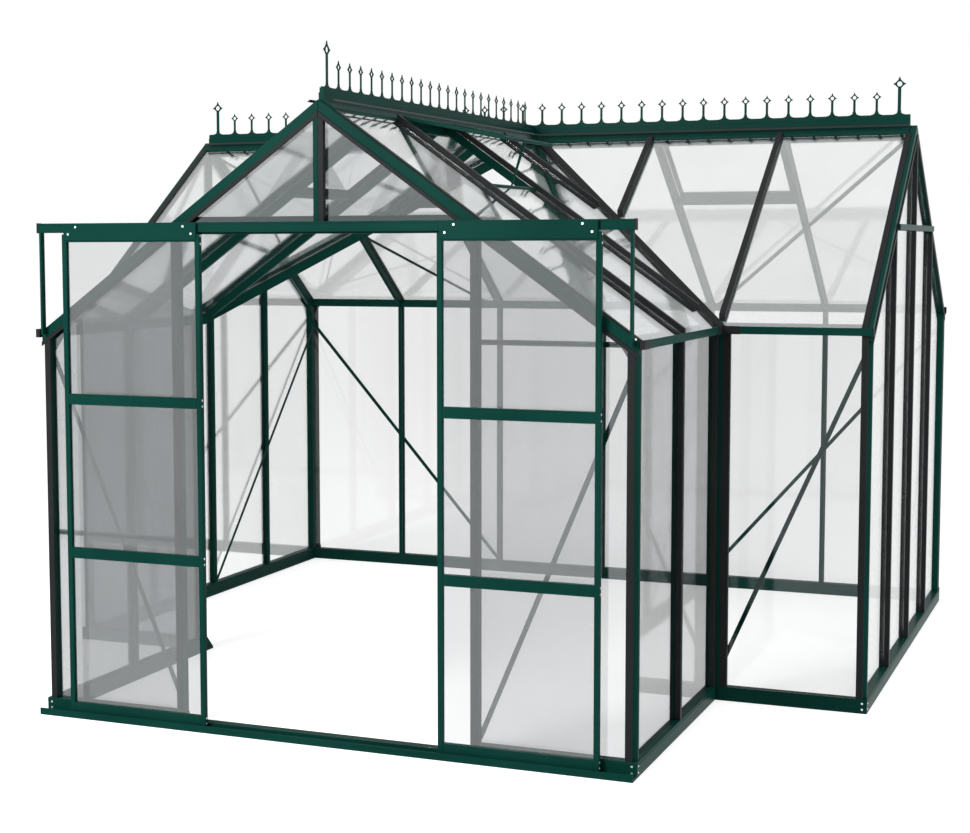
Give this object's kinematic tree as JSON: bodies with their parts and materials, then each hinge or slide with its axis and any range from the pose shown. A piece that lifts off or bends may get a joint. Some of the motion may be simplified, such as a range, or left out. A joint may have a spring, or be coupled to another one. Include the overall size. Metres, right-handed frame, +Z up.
{
  "type": "glass greenhouse",
  "caption": "T-plan glass greenhouse with dark green frame, crested ridges, roof vents and a pair of sliding door leaves in the front gable.",
  "frame": {"origin": "on the floor at the middle of the rectangle that the T plan fits in", "axes": "+Z up; the door gable faces -Y; +X to the right seen from the door"},
  "size_m": [3.86, 3.8979, 2.738],
  "materials": {
    "frame": "satin powder coat, dark green",
    "capping": "satin, dark grey",
    "brace": "satin, grey green",
    "downpipe": "matt, dark grey",
    "glass": "clear, faintly green"
  },
  "bodies": {
    "house": {"base_rails_cross": "frame", "base_rails_side": "frame", "door_guide": "frame", "corner_posts": "frame", "inner_posts": "frame", "door_jambs": "frame", "door_head": "frame", "wall_bars": "frame", "wall_caps": "capping", "gable_rafters": "frame", "rake_caps": "capping", "gable_ties": "frame", "eaves_beams_wing": "frame", "eaves_beams_cross": "frame", "gutters_wing": "frame", "gutters_cross": "frame", "gutter_ends": "capping", "downpipes": "downpipe", "ridge_cross": "frame", "ridge_front": "frame", "cresting_cross": "frame", "cresting_front": "frame", "valley_rafters": "frame", "valley_covers": "capping", "roof_bars": "frame", "roof_caps": "capping", "braces": "brace", "knee_plates": "brace", "door_track": "frame", "track_hangers": "frame", "glass_front": "glass", "glass_walls": "glass", "glass_gables": "glass", "glass_roof_wing": "glass", "glass_roof_cross": "glass", "vent_sills": "frame", "vent_frames": "frame", "vent_glass": "glass", "vent_stays": "brace"},
    "left_leaf": {"left_stiles": "frame", "left_rails": "frame", "left_glass": "glass"},
    "right_leaf": {"right_stiles": "frame", "right_rails": "frame", "right_glass": "glass"}
  },
  "joints": [
    {"name": "left_leaf_slide", "type": "slide", "parent": "house", "child": "left_leaf", "axis": [1, 0, 0], "range_m": [0, 0.497]},
    {"name": "right_leaf_slide", "type": "slide", "parent": "house", "child": "right_leaf", "axis": [-1, 0, 0], "range_m": [0, 0.497]}
  ]
}
